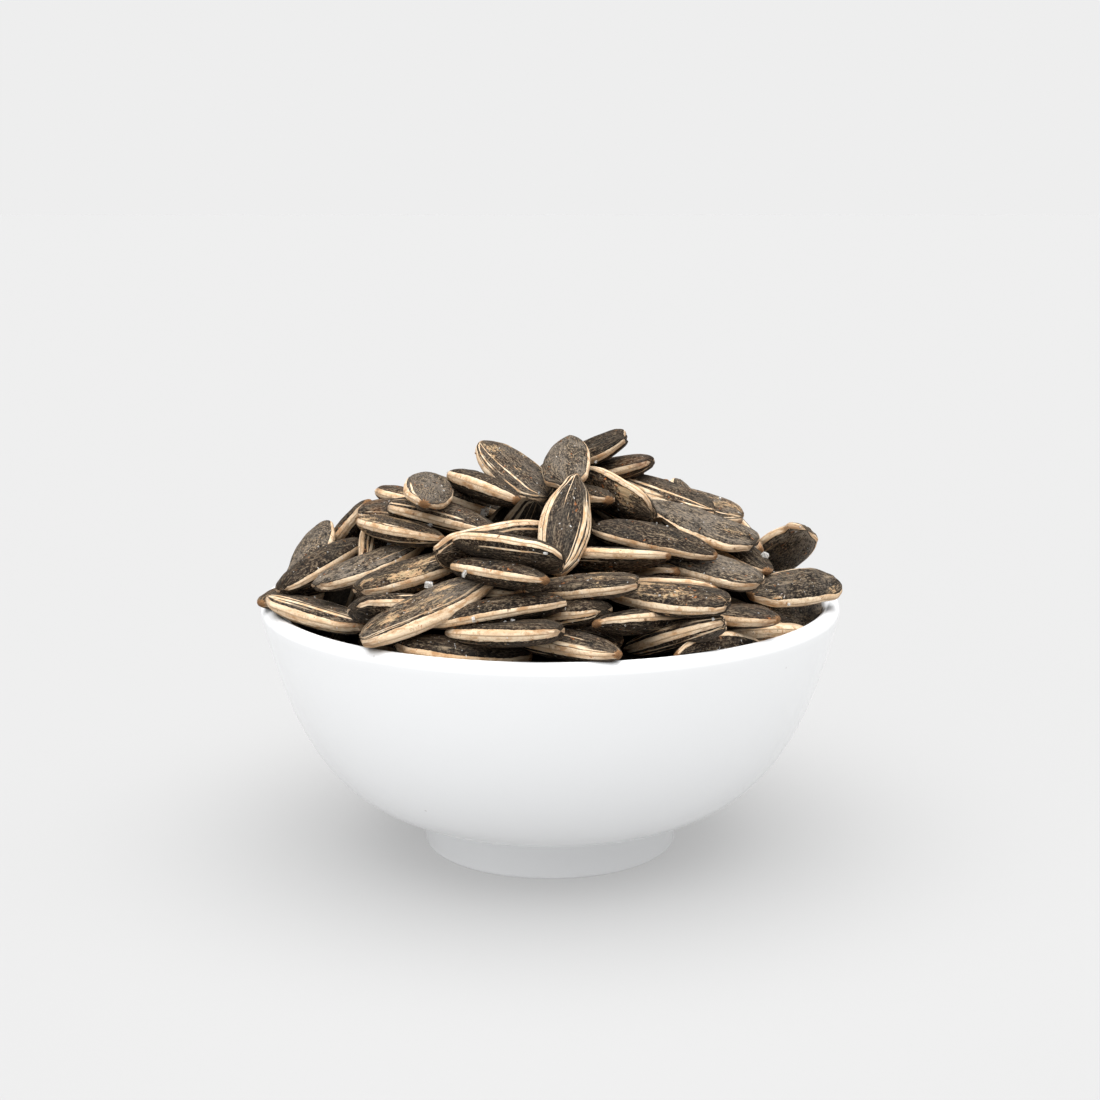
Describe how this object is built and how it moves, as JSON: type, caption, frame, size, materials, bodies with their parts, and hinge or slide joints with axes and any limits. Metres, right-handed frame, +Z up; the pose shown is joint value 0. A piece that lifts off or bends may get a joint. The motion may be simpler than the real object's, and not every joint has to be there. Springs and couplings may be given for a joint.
{
  "type": "bowl of roasted sunflower seeds",
  "caption": "Small white glazed footed bowl heaped above its rim with roasted striped sunflower seeds in the shell; stands on its foot ring.",
  "frame": {"origin": "on the table surface, on the bowl's axis, under the middle of the foot ring", "axes": "+Z up along the bowl's axis; the pictured side faces -Y; +X is the right of the picture"},
  "size_m": [0.1, 0.1, 0.072],
  "materials": {
    "bowl": "white clear-glazed porcelain, glossy, with a plain round lip and a turned foot",
    "seed_heap": "dry roasted seed hulls, charcoal faces with cream edges and stripes, matte to satin, dusted with salt"
  },
  "bodies": {
    "root": {"bowl": "bowl", "seed_heap": "seed_heap"}
  },
  "joints": []
}
